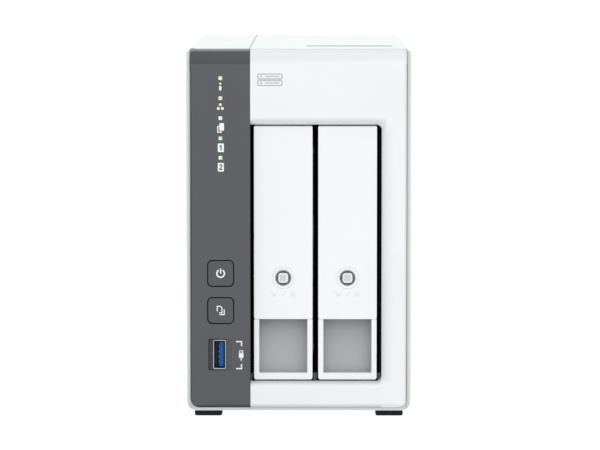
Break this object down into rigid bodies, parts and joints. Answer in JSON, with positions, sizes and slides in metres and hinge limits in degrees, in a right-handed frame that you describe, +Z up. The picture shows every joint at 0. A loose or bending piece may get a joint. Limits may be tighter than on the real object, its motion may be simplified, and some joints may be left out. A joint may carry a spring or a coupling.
{
  "type": "network attached storage",
  "caption": "Desktop network storage box: white casing, grey control strip with lights and buttons, and lever-handled drive trays that lock and slide out.",
  "frame": {"origin": "centre of the footprint, on the surface that the feet stand on", "axes": "+X to the right seen from the front, +Y to the rear, +Z up"},
  "size_m": [0.102, 0.219, 0.1674],
  "materials": {
    "white_shell": "fine moulded texture",
    "white_front": "smooth satin moulding",
    "strip_grey": "fine satin texture",
    "foot_rubber": "matte",
    "screw_steel": "plated",
    "circuit_board": "solder mask",
    "dark_plastic": "moulded",
    "chip_black": "moulded epoxy",
    "clear_pipe": "clear",
    "led_lens": "clear",
    "plated_steel": "nickel plated",
    "usb_blue": "smooth",
    "aluminium": "natural",
    "cast_aluminium": "die cast",
    "drive_steel": "pressed",
    "contact_brass": "plated",
    "cage_plastic": "moulded",
    "lead_sleeve": "sleeved",
    "plug_ivory": "moulded",
    "lock_grey": "satin"
  },
  "bodies": {
    "chassis": {"left_shell": "white_shell", "right_shell": "white_shell", "front_bezel": "white_front", "control_strip": "strip_grey", "rear_panel": "white_shell", "rubber_feet": "foot_rubber", "case_screws": "screw_steel", "front_board": "circuit_board", "power_switch": "dark_plastic", "copy_switch": "dark_plastic", "light_pipes": "clear_pipe", "status_leds": "led_lens", "front_usb_shell": "plated_steel", "front_usb_tongue": "usb_blue", "mainboard": "circuit_board", "processor": "chip_black", "heat_sink": "aluminium", "memory_chips": "chip_black", "capacitors": "aluminium", "coin_cell": "plated_steel", "coin_cell_holder": "dark_plastic", "network_jack": "plated_steel", "rear_usb_shells": "plated_steel", "rear_usb_tongues": "dark_plastic", "power_jack": "dark_plastic", "power_jack_pin": "contact_brass", "buzzer": "dark_plastic", "board_screws": "screw_steel", "drive_cage": "cage_plastic", "backplane": "circuit_board", "drive_socket_1": "dark_plastic", "drive_socket_2": "dark_plastic", "fan_frame": "dark_plastic", "fan_screws": "screw_steel", "fan_lead": "lead_sleeve", "fan_plug": "plug_ivory"},
    "power_button": {"power_button": "strip_grey"},
    "copy_button": {"copy_button": "strip_grey"},
    "reset_button": {"reset_button": "dark_plastic"},
    "fan_rotor": {"fan_rotor": "dark_plastic"},
    "tray_1": {"tray_1_carrier": "cage_plastic", "tray_1_front": "white_front", "tray_1_hinge_pin": "screw_steel", "tray_1_retainers": "dark_plastic", "drive_1_casting": "cast_aluminium", "drive_1_cover": "drive_steel", "drive_1_board": "circuit_board", "drive_1_connector": "dark_plastic"},
    "handle_1": {"tray_1_handle": "white_front"},
    "lock_1": {"tray_1_lock": "lock_grey"},
    "tray_2": {"tray_2_carrier": "cage_plastic", "tray_2_front": "white_front", "tray_2_hinge_pin": "screw_steel", "tray_2_retainers": "dark_plastic", "drive_2_casting": "cast_aluminium", "drive_2_cover": "drive_steel", "drive_2_board": "circuit_board", "drive_2_connector": "dark_plastic"},
    "handle_2": {"tray_2_handle": "white_front"},
    "lock_2": {"tray_2_lock": "lock_grey"}
  },
  "joints": [
    {"name": "tray_1_slide", "type": "slide", "parent": "chassis", "child": "tray_1", "axis": [0, -1, 0], "range_m": [0, 0.14]},
    {"name": "handle_1_swing", "type": "hinge", "parent": "tray_1", "child": "handle_1", "pos_m": [-0.007, -0.102, 0.1294], "axis": [-1, 0, 0], "range_deg": [0, 50]},
    {"name": "lock_1_turn", "type": "hinge", "parent": "handle_1", "child": "lock_1", "pos_m": [-0.007, -0.105, 0.06355], "axis": [0, 1, 0], "range_deg": [0, 90]},
    {"name": "tray_2_slide", "type": "slide", "parent": "chassis", "child": "tray_2", "axis": [0, -1, 0], "range_m": [0, 0.14]},
    {"name": "handle_2_swing", "type": "hinge", "parent": "tray_2", "child": "handle_2", "pos_m": [0.0221, -0.102, 0.1294], "axis": [-1, 0, 0], "range_deg": [0, 50]},
    {"name": "lock_2_turn", "type": "hinge", "parent": "handle_2", "child": "lock_2", "pos_m": [0.0221, -0.105, 0.06355], "axis": [0, 1, 0], "range_deg": [0, 90]},
    {"name": "power_press", "type": "slide", "parent": "chassis", "child": "power_button", "axis": [0, 1, 0], "range_m": [0, 0.0006], "stiffness_N_per_m": 400},
    {"name": "copy_press", "type": "slide", "parent": "chassis", "child": "copy_button", "axis": [0, 1, 0], "range_m": [0, 0.0006], "stiffness_N_per_m": 400},
    {"name": "reset_press", "type": "slide", "parent": "chassis", "child": "reset_button", "axis": [0, -1, 0], "range_m": [0, 0.0005], "stiffness_N_per_m": 400},
    {"name": "fan_spin", "type": "hinge", "parent": "chassis", "child": "fan_rotor", "pos_m": [0.00955, 0.093, 0.088], "axis": [0, 1, 0], "continuous": true}
  ]
}
